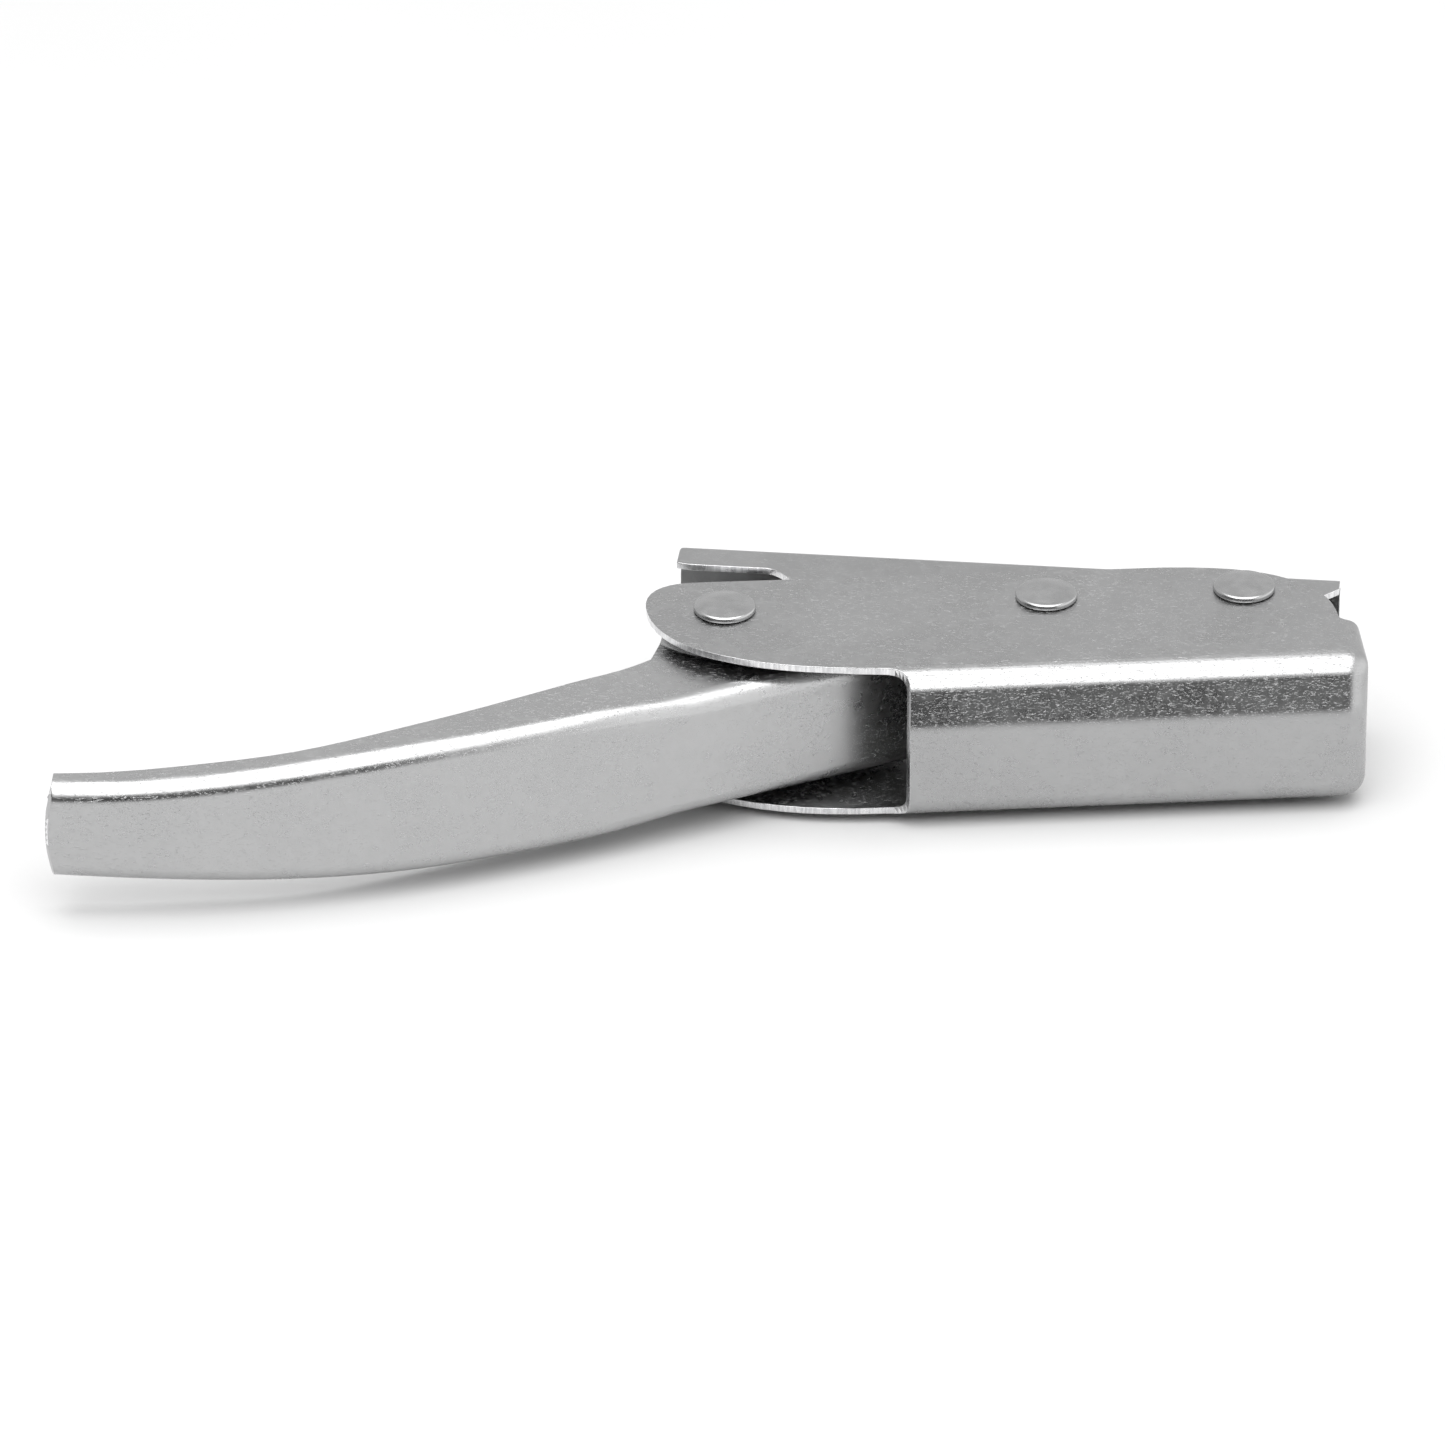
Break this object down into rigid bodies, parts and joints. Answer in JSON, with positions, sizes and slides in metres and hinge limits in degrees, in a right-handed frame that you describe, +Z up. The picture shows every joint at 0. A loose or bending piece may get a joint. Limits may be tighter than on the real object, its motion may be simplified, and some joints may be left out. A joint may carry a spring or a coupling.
{
  "type": "toggle bolt latch",
  "caption": "Pressed-steel lever latch: a long curved hand lever in a riveted channel cover that swings on a flat base channel.",
  "frame": {"origin": "middle of the base channel's back face, the face that lies against what the latch is fastened to", "axes": "+X along the base towards its pivot end, +Y out of the base's back face, +Z up along the rivets"},
  "size_m": [0.213, 0.0893, 0.0314],
  "materials": {
    "plated_base": "bright zinc plate, satin with fine tumbling scratches",
    "plated_cover": "bright zinc plate, satin with fine tumbling scratches",
    "plated_lever": "bright zinc plate, satin with fine tumbling scratches",
    "rivet_steel": "bright zinc plate, smooth cold-headed",
    "sleeve_steel": "zinc-plated tube",
    "spring_wire": "drawn spring wire",
    "hook_steel": "blanked steel plate, zinc plated"
  },
  "bodies": {
    "base": {"base_channel": "plated_base"},
    "cover": {"cover_channel": "plated_cover", "base_rivet": "rivet_steel", "hook_rivet": "rivet_steel", "lever_rivet": "rivet_steel", "base_sleeve": "sleeve_steel", "hook_sleeve_upper": "sleeve_steel", "hook_sleeve_lower": "sleeve_steel", "lever_sleeve": "sleeve_steel", "base_spring": "spring_wire", "hook_spring": "spring_wire"},
    "lever": {"hand_lever": "plated_lever"},
    "hook": {"latch_hook": "hook_steel"}
  },
  "joints": [
    {"name": "cover_swing", "type": "hinge", "parent": "base", "child": "cover", "pos_m": [0.0401, -0.0092, 0], "axis": [0, 0, 1], "range_deg": [0, 26], "stiffness_Nm_per_rad": 0.12, "springref_deg": -28.65},
    {"name": "lever_swing", "type": "hinge", "parent": "cover", "child": "lever", "pos_m": [-0.0456, -0.02581, 0], "axis": [0, 0, 1], "range_deg": [-20, 5]},
    {"name": "hook_swing", "type": "hinge", "parent": "cover", "child": "hook", "pos_m": [0.00741, -0.01554, 0], "axis": [0, 0, 1], "range_deg": [-4.1, 16.1]}
  ],
  "couplings": [
    {"joint": "hook_swing", "follows": "lever_swing", "ratio": -0.8}
  ]
}
